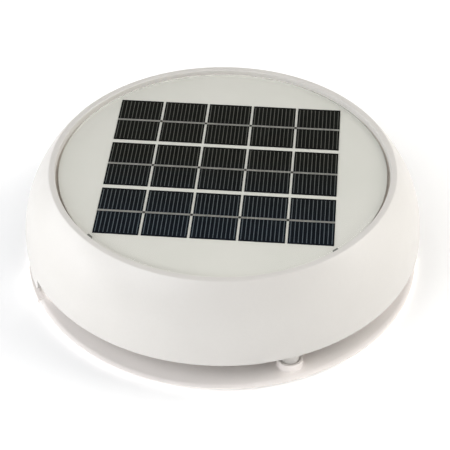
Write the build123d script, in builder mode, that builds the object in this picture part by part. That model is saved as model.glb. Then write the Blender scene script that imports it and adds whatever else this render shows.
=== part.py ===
from build123d import *
import os
from math import cos, radians, sin, sqrt

# Solar attic fan: a low round roof vent.
# A domed hood carries the solar panel on top and the motor pod underneath. Its four posts
# plug into cups on a flat base ring, which is screwed to the roof round the duct opening.
# Origin: centre of the underside. +Z up, X along the five columns of cells. Millimetres.

# ---------------------------------------------------------------- driving dimensions

# Hood: the outside is one arc, swept round the axis
HOOD_RADIUS = 108.0
HOOD_HEIGHT = 64.1
LIP_HEIGHT = 20.2
DOME_ARC_RADIUS = 60.7
DOME_ARC_HEIGHT = 24.0
WALL = 2.6
RIM_INNER_RADIUS = 89.5
RIM_OUTER_ROUNDING = 1.0
RIM_INNER_ROUNDING = 0.7
LIP_ROUNDING = 0.9
SEAT_HEIGHT = 59.3
SEAT_THICKNESS = 2.5
SEAT_UNDERSIDE = SEAT_HEIGHT - SEAT_THICKNESS

# Posts under the hood and the cups that take them
STATIONS = 4
STATION_ANGLE = -64.0
STATION_CIRCLE = 95.8
POST_RADIUS = 4.9
POST_BOTTOM = 4.7
POST_TOP = 50.0
RIB_THICKNESS = 2.0
RIB_BOTTOM = POST_TOP - 6.0
RIB_POD_GAP = 4.0
CUP_RADIUS = 6.6
CUP_BORE_RADIUS = 5.2
CUP_TOP = 8.5

# Index tongue on the lip and the lug on the base under it
INDEX_START_ANGLE = -167.5
INDEX_ARC = 15.0
TONGUE_BOTTOM = 10.3
TONGUE_INNER_RADIUS = 104.6
TONGUE_OUTER_RADIUS = 107.2
LUG_RADIUS = 108.0
LUG_TOP = 4.6
LUG_DEPTH = 3.3

# Solar panel
PANEL_RADIUS = 87.8
PANEL_TOP = 62.5
COVER_EDGE_CHAMFER = 0.4
COVER_THICKNESS = 2.0
BACKSHEET_TOP = PANEL_TOP - COVER_THICKNESS
SEAL_TOP = BACKSHEET_TOP
CELL_WIDTH = 23.6
CELL_LENGTH = 37.0
CELL_THICKNESS = 0.25
COLUMNS = 5
ROWS = 3
COLUMN_GAP = 1.3
ROW_GAP = 2.9
ARRAY_CENTRE = (-0.3, -0.1)
ARRAY_WIDTH = COLUMNS * CELL_WIDTH + (COLUMNS - 1) * COLUMN_GAP
ARRAY_LENGTH = ROWS * CELL_LENGTH + (ROWS - 1) * ROW_GAP
RIBBON_WIDTH = 1.4
RIBBON_THICKNESS = 0.1
CELL_POCKET_DEPTH = 0.4
CELL_POCKET_MARGIN = 0.6

# Base ring
BASE_RADIUS = 107.3
BASE_FOOT_RADIUS = 103.7
BASE_EDGE_HEIGHT = 3.3
BASE_EDGE_SLOPE = 2.2
FLOOR_TOP = 4.2
DUCT_RADIUS = 57.5
COLLAR_RADIUS = 60.0
COLLAR_TOP = 15.0
LEDGE_RADIUS = 55.5
GASKET_INNER_RADIUS = 86.0
GASKET_OUTER_RADIUS = 100.0
GASKET_THICKNESS = 1.4
SCREW_HOLES = 4
SCREW_CIRCLE = 76.0
SCREW_HOLE_RADIUS = 2.25
SCREW_HEAD_RADIUS = 4.3
SCREW_HEAD_DEPTH = 1.2

# Insect screen and its frame
FRAME_HEIGHT = 2.0
FRAME_INNER_RADIUS = 53.0
FRAME_HUB_RADIUS = 12.0
FRAME_SPOKE_WIDTH = 3.0
SCREEN_THICKNESS = 0.6
MESH_PITCH = 6.0
MESH_WIRE = 1.0

# Motor pod
POD_RADIUS = 41.5
POD_WALL = 2.0
POD_BOTTOM = 24.0
POD_FLOOR_TOP = POD_BOTTOM + 2.0
POD_TOP = SEAT_UNDERSIDE - 1.0
EAR_ANGLE = 71.0
EAR_COUNT = 3
EAR_CIRCLE = 47.5
EAR_RADIUS = 4.2
EAR_BOTTOM = 47.8
EAR_TOP = 50.0
BOSS_RADIUS = 4.0
BOSS_HOLE_DEPTH = 5.5
POD_SCREW_RADIUS = 1.4
POD_SCREW_LENGTH = 7.0

# Battery, its contacts and its door
CELL_AXIS_Y = 21.3
CELL_AXIS_Z = 33.8
BATTERY_RADIUS = 7.25
BATTERY_LENGTH = 48.0
BATTERY_BUTTON_RADIUS = 2.7
BATTERY_BUTTON_LENGTH = 1.4
CONTACT_X = 29.2
CONTACT_WIDTH = 7.0
CONTACT_HEIGHT = 9.0
CONTACT_THICKNESS = 0.5
SPRING_RADIUS = 3.0
SPRING_WIRE_RADIUS = 0.35
SPRING_TURNS = 3
DOOR_LENGTH = 58.0
DOOR_WIDTH = 18.0
DOOR_THICKNESS = 1.4
HATCH_LENGTH = 54.0
HATCH_WIDTH = 14.0
HATCH_CLEARANCE = 0.2
DOOR_LIP_WALL = 1.5
DOOR_LIP_HEIGHT = 1.6
DOOR_SCREW_Y = 32.8
DOOR_SCREW_RADIUS = 1.1
DOOR_TAB_RADIUS = 3.4
GRIP_GROOVES = 5
GRIP_PITCH = 3.2
GRIP_WIDTH = 1.2
GRIP_DEPTH = 0.5

# Motor, on the axis of the hood
CAN_RADIUS = 12.2
CAN_WALL = 0.5
CAN_BOTTOM = POD_FLOOR_TOP
CAN_TOP = 47.0
SHAFT_RADIUS = 1.0
SHAFT_BOTTOM = 10.5
SHAFT_TOP = 50.8
BUSHING_RADIUS = 2.6
BUSHING_CLEARANCE = 0.05
BUSHING_LENGTH = 3.2
END_BELL_TOP = CAN_TOP + 3.2
END_BELL_BORE_RADIUS = 8.6
MAGNET_BOTTOM = 30.0
MAGNET_LENGTH = 14.0
MAGNET_INNER_RADIUS = 9.2
MAGNET_ARC = 130.0
ARMATURE_RADIUS = 8.6
ARMATURE_BOTTOM = 30.5
ARMATURE_LENGTH = 12.0
WINDING_OVERHANG = 1.0
TOOTH_WIDTH = 2.4
COMMUTATOR_RADIUS = 3.2
COMMUTATOR_BOTTOM = 44.2
COMMUTATOR_LENGTH = 3.6
NOSE_RADIUS = 3.2
NOSE_BOTTOM = POD_BOTTOM + 0.2
MOTOR_SCREW_OFFSET = 8.0
MOTOR_SCREW_RADIUS = 1.0

# Fan
BLADES = 5
FAN_RADIUS = 53.5
HUB_RADIUS = 10.0
HUB_BOTTOM = 8.2
HUB_TOP = 17.5
HUB_WALL = 1.6
HUB_LID = 2.0
SOCKET_RADIUS = 3.0
SOCKET_FLOOR = 1.3
BLADE_HEIGHT = 12.0
BLADE_THICKNESS = 1.3
ROOT_CHORD = 15.0
TIP_CHORD = 27.0
ROOT_PITCH = 38.0
TIP_PITCH = 21.0

# Switch, control board and leads
SWITCH_Y = -28.5
SWITCH_LENGTH = 13.0
SWITCH_WIDTH = 6.0
SWITCH_HEIGHT = 5.0
SLIDER_LENGTH = 3.0
SLIDER_WIDTH = 2.0
SLIDER_TRAVEL = 4.0
SLIDER_BOTTOM = 21.8
BOARD_LENGTH = 38.0
BOARD_HEIGHT = 21.0
BOARD_THICKNESS = 1.6
BOARD_Y = -17.8
BOARD_BOTTOM = 29.0
BOARD_BACK = BOARD_Y - BOARD_THICKNESS / 2
CAPACITOR_RADIUS = 3.15
CAPACITOR_LENGTH = 7.0
CAPACITOR_DROP = 8.0
DIODE_RADIUS = 1.35
DIODE_LENGTH = 5.2
DIODE_HEIGHT = 38.0
DIODE_STANDOFF = 1.4
DIODE_LEG_RADIUS = 0.35
DIODE_LEG_SPACING = 8.4
TRANSISTOR_SIZE = 4.6
TRANSISTOR_HEIGHT = 3.4
TRANSISTOR_DROP = 9.0
LEAD_RADIUS = 0.7
MOTOR_TERMINAL_X = 6.0
MOTOR_TERMINAL_Y = -6.5
LEAD_LOOP_TOP = END_BELL_TOP + 3.6
PANEL_LEAD_HEIGHT = 48.0
BATTERY_LEAD_HEIGHT = 45.0
LEAD_HOLE = (-9.0, -24.5)
LEAD_HOLE_RADIUS = 4.0
GROMMET_FLANGE_RADIUS = 5.6
LEAD_SPACING = 2.4

os.makedirs("parts", exist_ok=True)


def dome_radius(height, inset=0.0):
    """Radius of the dome at a height, on its outside or inset from it."""
    arc = DOME_ARC_RADIUS - inset
    centre = HOOD_RADIUS - DOME_ARC_RADIUS
    return centre + sqrt(arc**2 - (height - DOME_ARC_HEIGHT) ** 2)


def pan_head_screw(shank_radius, length, head_radius, head_height):
    """A screw driven upwards from Z = 0, its cross-recessed head hanging below."""
    with BuildPart() as screw:
        with BuildSketch(Plane.XY):
            Circle(shank_radius)
        extrude(amount=length)
        with BuildSketch(Plane.XY):
            Circle(head_radius)
        extrude(amount=-head_height)
        fillet(screw.faces().sort_by(Axis.Z)[0].edges(), head_height * 0.45)
        chamfer(screw.faces().sort_by(Axis.Z)[-1].edges(), shank_radius * 0.4)
        with BuildSketch(Plane.XY.offset(-head_height)):
            Rectangle(head_radius * 1.1, head_radius * 0.28)
            Rectangle(head_radius * 0.28, head_radius * 1.1)
        extrude(amount=head_height * 0.55, mode=Mode.SUBTRACT)
    return screw.part


def lead(points, bends):
    """A round insulated wire through the points, with one bend radius for each corner."""
    with BuildPart() as wire:
        with BuildLine() as route:
            FilletPolyline(*points, radius=bends)
        with BuildSketch(Plane(origin=route.line @ 0, z_dir=route.line % 0)):
            Circle(LEAD_RADIUS)
        sweep(path=route.line)
    return wire.part


# ---------------------------------------------------------------- hood shell

with BuildPart() as index_tongue:
    with BuildSketch(Plane.XZ.rotated((0, 0, INDEX_START_ANGLE))):
        with Locations(((TONGUE_INNER_RADIUS + TONGUE_OUTER_RADIUS) / 2, TONGUE_BOTTOM)):
            Rectangle(
                TONGUE_OUTER_RADIUS - TONGUE_INNER_RADIUS,
                LIP_HEIGHT + WALL - TONGUE_BOTTOM,
                align=(Align.CENTER, Align.MIN),
            )
    revolve(axis=Axis.Z, revolution_arc=INDEX_ARC)
    tongue_corners = index_tongue.faces().sort_by(Axis.Z)[0].edges().filter_by(GeomType.LINE)
    fillet(tongue_corners, 4.0)

with BuildPart() as hood_shell:
    with BuildSketch(Plane.XZ) as hood_section:
        with BuildLine():
            mid_height = (LIP_HEIGHT + HOOD_HEIGHT) / 2
            inner_mid_height = (LIP_HEIGHT + SEAT_UNDERSIDE) / 2
            outside = ThreePointArc(
                (dome_radius(LIP_HEIGHT), LIP_HEIGHT),
                (dome_radius(mid_height), mid_height),
                (dome_radius(HOOD_HEIGHT), HOOD_HEIGHT),
            )
            seat = Polyline(
                outside @ 1,
                (RIM_INNER_RADIUS, HOOD_HEIGHT),
                (RIM_INNER_RADIUS, SEAT_HEIGHT),
                (0, SEAT_HEIGHT),
                (0, SEAT_UNDERSIDE),
                (dome_radius(SEAT_UNDERSIDE, WALL), SEAT_UNDERSIDE),
            )
            inside = ThreePointArc(
                seat @ 1,
                (dome_radius(inner_mid_height, WALL), inner_mid_height),
                (dome_radius(LIP_HEIGHT, WALL), LIP_HEIGHT),
            )
            Line(inside @ 1, outside @ 0)
        make_face()
        fillet(hood_section.vertices().group_by(Axis.Y)[0], LIP_ROUNDING)
        rim_top = hood_section.vertices().group_by(Axis.Y)[-1].sort_by(Axis.X)
        fillet(rim_top[-1], RIM_OUTER_ROUNDING)
        rim_top = hood_section.vertices().group_by(Axis.Y)[-1].sort_by(Axis.X)
        fillet(rim_top[0], RIM_INNER_ROUNDING)
    revolve(axis=Axis.Z)
    add(index_tongue.part)
    with BuildSketch(Plane.XY.offset(POST_BOTTOM)):
        with PolarLocations(STATION_CIRCLE, STATIONS, start_angle=STATION_ANGLE):
            Circle(POST_RADIUS)
    extrude(amount=POST_TOP - POST_BOTTOM)
    post_tips = hood_shell.faces().filter_by(Axis.Z).group_by(Axis.Z)[0].edges()
    chamfer(post_tips, 0.6)
    # ribs under the seat, from the posts in to the pod
    with BuildSketch(Plane.XY.offset(RIB_BOTTOM)):
        rib_length = STATION_CIRCLE - POD_RADIUS - RIB_POD_GAP
        with PolarLocations(
            STATION_CIRCLE - rib_length / 2, STATIONS, start_angle=STATION_ANGLE
        ):
            Rectangle(rib_length, RIB_THICKNESS)
    extrude(amount=SEAT_UNDERSIDE - RIB_BOTTOM)
    # bosses that take the pod's screws
    with BuildSketch(Plane.XY.offset(EAR_TOP)):
        with PolarLocations(EAR_CIRCLE, EAR_COUNT, start_angle=EAR_ANGLE):
            Circle(BOSS_RADIUS)
    extrude(amount=SEAT_UNDERSIDE - EAR_TOP)
    with BuildSketch(Plane.XY.offset(EAR_TOP)):
        with PolarLocations(EAR_CIRCLE, EAR_COUNT, start_angle=EAR_ANGLE):
            Circle(POD_SCREW_RADIUS)
    extrude(amount=BOSS_HOLE_DEPTH, mode=Mode.SUBTRACT)
    with BuildSketch(Plane.XY.offset(SEAT_UNDERSIDE)):
        with Locations(LEAD_HOLE):
            Circle(LEAD_HOLE_RADIUS)
    extrude(amount=SEAT_THICKNESS, mode=Mode.SUBTRACT)

hood_shell.part.label = "hood_shell"
export_step(hood_shell.part, "parts/hood_shell.step")

# ---------------------------------------------------------------- solar panel

with BuildPart() as panel_backsheet:
    with BuildSketch(Plane.XY.offset(SEAT_HEIGHT)):
        Circle(PANEL_RADIUS)
    extrude(amount=BACKSHEET_TOP - SEAT_HEIGHT)

panel_backsheet.part.label = "panel_backsheet"
export_step(panel_backsheet.part, "parts/panel_backsheet.step")

with BuildPart() as panel_cover:
    with BuildSketch(Plane.XY.offset(BACKSHEET_TOP)):
        Circle(PANEL_RADIUS)
    extrude(amount=COVER_THICKNESS)
    with BuildSketch(Plane.XY.offset(BACKSHEET_TOP)):
        with Locations(ARRAY_CENTRE):
            Rectangle(
                ARRAY_WIDTH + 2 * CELL_POCKET_MARGIN,
                ARRAY_LENGTH + 2 * CELL_POCKET_MARGIN,
            )
    extrude(amount=CELL_POCKET_DEPTH, mode=Mode.SUBTRACT)
    chamfer(panel_cover.faces().sort_by(Axis.Z)[-1].edges(), COVER_EDGE_CHAMFER)

panel_cover.part.label = "panel_cover"
export_step(panel_cover.part, "parts/panel_cover.step")

with BuildPart() as panel_seal:
    with BuildSketch(Plane.XY.offset(SEAT_HEIGHT)):
        Circle(RIM_INNER_RADIUS)
        Circle(PANEL_RADIUS, mode=Mode.SUBTRACT)
    extrude(amount=SEAL_TOP - SEAT_HEIGHT)

panel_seal.part.label = "panel_seal"
export_step(panel_seal.part, "parts/panel_seal.step")

row_pitch = CELL_LENGTH + ROW_GAP
column_pitch = CELL_WIDTH + COLUMN_GAP
for row, row_name in enumerate(("front", "middle", "rear")):
    row_y = ARRAY_CENTRE[1] + (row - (ROWS - 1) / 2) * row_pitch
    with BuildPart() as cell_row:
        with BuildSketch(Plane.XY.offset(BACKSHEET_TOP)):
            with Locations((ARRAY_CENTRE[0], row_y)):
                with GridLocations(column_pitch, row_pitch, COLUMNS, 1):
                    Rectangle(CELL_WIDTH, CELL_LENGTH)
        extrude(amount=CELL_THICKNESS)

    cell_row.part.label = f"solar_cells_{row_name}_row"
    export_step(cell_row.part, f"parts/solar_cells_{row_name}_row.step")

with BuildPart() as tab_ribbons:
    with BuildSketch(Plane.XY.offset(BACKSHEET_TOP + CELL_THICKNESS)):
        with Locations(ARRAY_CENTRE):
            with GridLocations(column_pitch, row_pitch, 1, ROWS):
                Rectangle(ARRAY_WIDTH, RIBBON_WIDTH)
    extrude(amount=RIBBON_THICKNESS)

tab_ribbons.part.label = "tab_ribbons"
export_step(tab_ribbons.part, "parts/tab_ribbons.step")

with BuildPart() as lead_grommet:
    with BuildSketch(Plane.XY.offset(SEAT_UNDERSIDE)):
        with Locations(LEAD_HOLE):
            Circle(LEAD_HOLE_RADIUS)
    extrude(amount=SEAT_THICKNESS)
    with BuildSketch(Plane.XY.offset(POD_TOP)):
        with Locations(LEAD_HOLE):
            Circle(GROMMET_FLANGE_RADIUS)
    extrude(amount=SEAT_UNDERSIDE - POD_TOP)
    with BuildSketch(Plane.XY.offset(POD_TOP)):
        with Locations(LEAD_HOLE):
            with GridLocations(LEAD_SPACING, 1, 2, 1):
                Circle(LEAD_RADIUS)
    extrude(amount=SEAT_HEIGHT - POD_TOP, mode=Mode.SUBTRACT)

lead_grommet.part.label = "lead_grommet"
export_step(lead_grommet.part, "parts/lead_grommet.step")

# ---------------------------------------------------------------- base ring

with BuildPart() as index_lug:
    with BuildSketch(Plane.XZ.rotated((0, 0, INDEX_START_ANGLE))):
        with BuildLine():
            Polyline(
                (BASE_FOOT_RADIUS, 0.8),
                (LUG_RADIUS - 1, 0.8),
                (LUG_RADIUS, 2.4),
                (LUG_RADIUS, LUG_TOP - 0.4),
                (LUG_RADIUS - 0.6, LUG_TOP),
                (LUG_RADIUS - LUG_DEPTH, LUG_TOP),
                (LUG_RADIUS - LUG_DEPTH, FLOOR_TOP - 0.4),
                close=True,
            )
        make_face()
    revolve(axis=Axis.Z, revolution_arc=INDEX_ARC)

with BuildPart() as base_ring:
    with BuildSketch(Plane.XZ) as base_section:
        with BuildLine():
            Polyline(
                (LEDGE_RADIUS, FRAME_HEIGHT + SCREEN_THICKNESS),
                (LEDGE_RADIUS, FRAME_HEIGHT + SCREEN_THICKNESS + 1.4),
                (DUCT_RADIUS, FRAME_HEIGHT + SCREEN_THICKNESS + 3.4),
                (DUCT_RADIUS, COLLAR_TOP),
                (COLLAR_RADIUS, COLLAR_TOP),
                (COLLAR_RADIUS, FLOOR_TOP),
                (BASE_RADIUS - BASE_EDGE_SLOPE, FLOOR_TOP),
                (BASE_RADIUS, BASE_EDGE_HEIGHT),
                (BASE_FOOT_RADIUS, 0),
                (GASKET_OUTER_RADIUS, 0),
                (GASKET_OUTER_RADIUS, GASKET_THICKNESS),
                (GASKET_INNER_RADIUS, GASKET_THICKNESS),
                (GASKET_INNER_RADIUS, 0),
                (DUCT_RADIUS, 0),
                (DUCT_RADIUS, FRAME_HEIGHT + SCREEN_THICKNESS),
                close=True,
            )
        make_face()
        fillet(base_section.vertices().group_by(Axis.Y)[-1], 1.0)
        collar_foot = base_section.vertices().sort_by_distance((COLLAR_RADIUS, FLOOR_TOP))[0]
        fillet(collar_foot, 2.0)
        floor_edge = base_section.vertices().sort_by_distance(
            (BASE_RADIUS - BASE_EDGE_SLOPE, FLOOR_TOP)
        )[0]
        fillet(floor_edge, 4.0)
        outer_edge = base_section.vertices().sort_by_distance((BASE_RADIUS, BASE_EDGE_HEIGHT))[0]
        fillet(outer_edge, 0.35)
    revolve(axis=Axis.Z)
    add(index_lug.part)
    with BuildSketch(Plane.XY.offset(FLOOR_TOP)):
        with PolarLocations(STATION_CIRCLE, STATIONS, start_angle=STATION_ANGLE):
            Circle(CUP_RADIUS)
            Circle(CUP_BORE_RADIUS, mode=Mode.SUBTRACT)
    extrude(amount=CUP_TOP - FLOOR_TOP)
    cup_edges = base_ring.edges().filter_by(GeomType.CIRCLE)
    cup_rims = cup_edges.filter_by(
        lambda e: e.radius < CUP_RADIUS + 0.1 and abs(e.center().Z - CUP_TOP) < 0.01
    )
    fillet(cup_rims, 0.35)
    cup_feet = base_ring.edges().filter_by(GeomType.CIRCLE).filter_by(
        lambda e: abs(e.radius - CUP_RADIUS) < 0.01 and abs(e.center().Z - FLOOR_TOP) < 0.01
    )
    fillet(cup_feet, 0.8)
    with Locations(Plane.XY.offset(FLOOR_TOP)):
        with PolarLocations(
            SCREW_CIRCLE, SCREW_HOLES, start_angle=STATION_ANGLE + 180 / STATIONS
        ):
            CounterBoreHole(SCREW_HOLE_RADIUS, SCREW_HEAD_RADIUS, SCREW_HEAD_DEPTH)

base_ring.part.label = "base_ring"
export_step(base_ring.part, "parts/base_ring.step")

with BuildPart() as flange_gasket:
    with BuildSketch(Plane.XY):
        Circle(GASKET_OUTER_RADIUS)
        Circle(GASKET_INNER_RADIUS, mode=Mode.SUBTRACT)
    extrude(amount=GASKET_THICKNESS)

flange_gasket.part.label = "flange_gasket"
export_step(flange_gasket.part, "parts/flange_gasket.step")

with BuildPart() as screen_frame:
    with BuildSketch(Plane.XY):
        Circle(DUCT_RADIUS)
        Circle(FRAME_INNER_RADIUS, mode=Mode.SUBTRACT)
        Circle(FRAME_HUB_RADIUS)
        Circle(FRAME_HUB_RADIUS - FRAME_SPOKE_WIDTH, mode=Mode.SUBTRACT)
        spoke_length = FRAME_INNER_RADIUS - FRAME_HUB_RADIUS + 2
        with PolarLocations((FRAME_INNER_RADIUS + FRAME_HUB_RADIUS) / 2, 3, start_angle=90):
            Rectangle(spoke_length, FRAME_SPOKE_WIDTH)
    extrude(amount=FRAME_HEIGHT)

screen_frame.part.label = "screen_frame"
export_step(screen_frame.part, "parts/screen_frame.step")

with BuildPart() as insect_screen:
    with BuildSketch(Plane.XY.offset(FRAME_HEIGHT)):
        Circle(DUCT_RADIUS)
        with BuildSketch(mode=Mode.SUBTRACT):
            Circle(FRAME_INNER_RADIUS + 1)
            mesh_count = int(2 * FRAME_INNER_RADIUS / MESH_PITCH) + 2
            with GridLocations(MESH_PITCH, MESH_PITCH, mesh_count, mesh_count):
                Rectangle(
                    MESH_PITCH - MESH_WIRE, MESH_PITCH - MESH_WIRE, mode=Mode.INTERSECT
                )
    extrude(amount=SCREEN_THICKNESS)

insect_screen.part.label = "insect_screen"
export_step(insect_screen.part, "parts/insect_screen.step")

# ---------------------------------------------------------------- motor pod

with BuildPart() as motor_pod:
    with BuildSketch(Plane.XY.offset(POD_BOTTOM)):
        Circle(POD_RADIUS)
    extrude(amount=POD_TOP - POD_BOTTOM)
    fillet(motor_pod.faces().sort_by(Axis.Z)[0].edges(), 3.0)
    with BuildSketch(Plane.XY.offset(POD_FLOOR_TOP)):
        Circle(POD_RADIUS - POD_WALL)
    extrude(amount=POD_TOP - POD_FLOOR_TOP, mode=Mode.SUBTRACT)
    # sleeve round the motor, board rails and the boss for the door's screw
    with BuildSketch(Plane.XY.offset(POD_FLOOR_TOP)):
        Circle(CAN_RADIUS + 1.5)
        Circle(CAN_RADIUS, mode=Mode.SUBTRACT)
        with Locations((0, DOOR_SCREW_Y)):
            Circle(2.8)
    extrude(amount=5.0)
    with BuildSketch(Plane.XY.offset(POD_FLOOR_TOP)):
        with Locations((0, BOARD_Y)):
            with GridLocations(BOARD_LENGTH - 1, 1, 2, 1):
                Rectangle(4.0, 4.6)
    extrude(amount=9.0)
    with BuildSketch(Plane.XY.offset(BOARD_BOTTOM)):
        with Locations((0, BOARD_Y)):
            Rectangle(BOARD_LENGTH, BOARD_THICKNESS)
    extrude(amount=9.0, mode=Mode.SUBTRACT)
    # ears for the screws into the hood
    with BuildSketch(Plane.XY.offset(EAR_BOTTOM)):
        with PolarLocations(EAR_CIRCLE, EAR_COUNT, start_angle=EAR_ANGLE):
            Circle(EAR_RADIUS)
        with PolarLocations(
            (EAR_CIRCLE + POD_RADIUS - 1) / 2, EAR_COUNT, start_angle=EAR_ANGLE
        ):
            Rectangle(EAR_CIRCLE - POD_RADIUS + 1, 2 * EAR_RADIUS)
    extrude(amount=EAR_TOP - EAR_BOTTOM)
    with BuildSketch(Plane.XY.offset(EAR_BOTTOM)):
        with PolarLocations(EAR_CIRCLE, EAR_COUNT, start_angle=EAR_ANGLE):
            Circle(POD_SCREW_RADIUS)
    extrude(amount=EAR_TOP - EAR_BOTTOM, mode=Mode.SUBTRACT)
    # openings in the floor: motor nose and its screws, battery hatch, switch slot
    with BuildSketch(Plane.XY.offset(POD_BOTTOM)):
        Circle(NOSE_RADIUS)
        with PolarLocations(MOTOR_SCREW_OFFSET, 2):
            Circle(MOTOR_SCREW_RADIUS)
        with Locations((0, CELL_AXIS_Y)):
            Rectangle(HATCH_LENGTH, HATCH_WIDTH)
        with Locations((0, SWITCH_Y)):
            Rectangle(SLIDER_LENGTH + SLIDER_TRAVEL + 1.2, SLIDER_WIDTH + 1.2)
    extrude(amount=POD_FLOOR_TOP - POD_BOTTOM, mode=Mode.SUBTRACT)
    with BuildSketch(Plane.XY.offset(POD_BOTTOM)):
        with Locations((0, DOOR_SCREW_Y)):
            Circle(DOOR_SCREW_RADIUS)
    extrude(amount=6.0, mode=Mode.SUBTRACT)

motor_pod.part.label = "motor_pod"
export_step(motor_pod.part, "parts/motor_pod.step")

with BuildPart() as pod_gasket:
    with BuildSketch(Plane.XY.offset(POD_TOP)):
        Circle(POD_RADIUS)
        Circle(POD_RADIUS - POD_WALL, mode=Mode.SUBTRACT)
    extrude(amount=SEAT_UNDERSIDE - POD_TOP)

pod_gasket.part.label = "pod_gasket"
export_step(pod_gasket.part, "parts/pod_gasket.step")

pod_screw = pan_head_screw(POD_SCREW_RADIUS, POD_SCREW_LENGTH, 3.0, 1.8)
with BuildPart() as pod_screws:
    with Locations(Plane.XY.offset(EAR_BOTTOM)):
        with PolarLocations(EAR_CIRCLE, EAR_COUNT, start_angle=EAR_ANGLE):
            add(pod_screw)

pod_screws.part.label = "pod_screws"
export_step(pod_screws.part, "parts/pod_screws.step")

# ---------------------------------------------------------------- battery

with BuildPart() as battery_door:
    with BuildSketch(Plane.XY.offset(POD_BOTTOM)):
        with Locations((0, CELL_AXIS_Y)):
            RectangleRounded(DOOR_LENGTH, DOOR_WIDTH, 2.0)
        with Locations((0, DOOR_SCREW_Y)):
            Circle(DOOR_TAB_RADIUS)
        with Locations((0, (CELL_AXIS_Y + DOOR_SCREW_Y) / 2)):
            Rectangle(2 * DOOR_TAB_RADIUS, DOOR_SCREW_Y - CELL_AXIS_Y)
    extrude(amount=-DOOR_THICKNESS)
    chamfer(battery_door.faces().sort_by(Axis.Z)[0].edges(), 0.4)
    with BuildSketch(Plane.XY.offset(POD_BOTTOM)):
        with Locations((0, CELL_AXIS_Y)):
            lip_length = HATCH_LENGTH - 2 * HATCH_CLEARANCE
            lip_width = HATCH_WIDTH - 2 * HATCH_CLEARANCE
            Rectangle(lip_length, lip_width)
            Rectangle(
                lip_length - 2 * DOOR_LIP_WALL,
                lip_width - 2 * DOOR_LIP_WALL,
                mode=Mode.SUBTRACT,
            )
    extrude(amount=DOOR_LIP_HEIGHT)
    with BuildSketch(Plane.XY.offset(POD_BOTTOM)):
        with Locations((0, DOOR_SCREW_Y)):
            Circle(DOOR_SCREW_RADIUS)
    extrude(amount=-DOOR_THICKNESS, mode=Mode.SUBTRACT)
    with BuildSketch(Plane.XY.offset(POD_BOTTOM - DOOR_THICKNESS)):
        with Locations((0, CELL_AXIS_Y)):
            with GridLocations(GRIP_PITCH, 1, GRIP_GROOVES, 1):
                Rectangle(GRIP_WIDTH, DOOR_WIDTH / 2)
    extrude(amount=GRIP_DEPTH, mode=Mode.SUBTRACT)

battery_door.part.label = "battery_door"
export_step(battery_door.part, "parts/battery_door.step")

door_screw = pan_head_screw(DOOR_SCREW_RADIUS, 6.5, 2.2, 1.2)
with BuildPart() as battery_door_screw:
    with Locations((0, DOOR_SCREW_Y, POD_BOTTOM - DOOR_THICKNESS)):
        add(door_screw)

battery_door_screw.part.label = "battery_door_screw"
export_step(battery_door_screw.part, "parts/battery_door_screw.step")

battery_plane = Plane(origin=(0, CELL_AXIS_Y, CELL_AXIS_Z), z_dir=(1, 0, 0))
with BuildPart() as battery_cell:
    with BuildSketch(battery_plane.offset(-BATTERY_LENGTH / 2)):
        Circle(BATTERY_RADIUS)
    extrude(amount=BATTERY_LENGTH)
    fillet(battery_cell.edges(), 0.7)
    with BuildSketch(battery_plane.offset(BATTERY_LENGTH / 2)):
        Circle(BATTERY_BUTTON_RADIUS)
    extrude(amount=BATTERY_BUTTON_LENGTH)

battery_cell.part.label = "battery_cell"
export_step(battery_cell.part, "parts/battery_cell.step")

plus_face = BATTERY_LENGTH / 2 + BATTERY_BUTTON_LENGTH
with BuildPart() as battery_plus_contact:
    with BuildSketch(battery_plane.offset(plus_face)):
        Rectangle(CONTACT_WIDTH, CONTACT_HEIGHT)
    extrude(amount=CONTACT_THICKNESS)

battery_plus_contact.part.label = "battery_plus_contact"
export_step(battery_plus_contact.part, "parts/battery_plus_contact.step")

spring_length = CONTACT_X - CONTACT_THICKNESS - BATTERY_LENGTH / 2
with BuildPart() as battery_spring:
    with BuildSketch(battery_plane.offset(-CONTACT_X)):
        Rectangle(CONTACT_WIDTH, CONTACT_HEIGHT)
    extrude(amount=CONTACT_THICKNESS)
    with BuildLine() as coil:
        Helix(
            pitch=spring_length / SPRING_TURNS,
            height=spring_length - 2 * SPRING_WIRE_RADIUS + 0.1,
            radius=SPRING_RADIUS,
            center=(-CONTACT_X + CONTACT_THICKNESS + 0.2, CELL_AXIS_Y, CELL_AXIS_Z),
            direction=(1, 0, 0),
        )
    with BuildSketch(Plane(origin=coil.line @ 0, z_dir=coil.line % 0)):
        Circle(SPRING_WIRE_RADIUS)
    sweep(path=coil.line)

battery_spring.part.label = "battery_spring"
export_step(battery_spring.part, "parts/battery_spring.step")

# ---------------------------------------------------------------- motor

with BuildPart() as motor_can:
    with BuildSketch(Plane.XY.offset(CAN_BOTTOM)):
        Circle(CAN_RADIUS)
    extrude(amount=CAN_TOP - CAN_BOTTOM)
    with BuildSketch(Plane.XY.offset(CAN_BOTTOM + CAN_WALL)):
        Circle(CAN_RADIUS - CAN_WALL)
    extrude(amount=CAN_TOP - CAN_BOTTOM - CAN_WALL, mode=Mode.SUBTRACT)
    with BuildSketch(Plane.XY.offset(NOSE_BOTTOM)):
        Circle(NOSE_RADIUS)
    extrude(amount=CAN_BOTTOM + CAN_WALL - NOSE_BOTTOM)
    with BuildSketch(Plane.XY.offset(POD_BOTTOM)):
        Circle(BUSHING_RADIUS)
    extrude(amount=6.0, mode=Mode.SUBTRACT)
    with BuildSketch(Plane.XY.offset(CAN_BOTTOM)):
        with PolarLocations(MOTOR_SCREW_OFFSET, 2):
            Circle(MOTOR_SCREW_RADIUS)
    extrude(amount=CAN_WALL, mode=Mode.SUBTRACT)

motor_can.part.label = "motor_can"
export_step(motor_can.part, "parts/motor_can.step")

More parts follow.
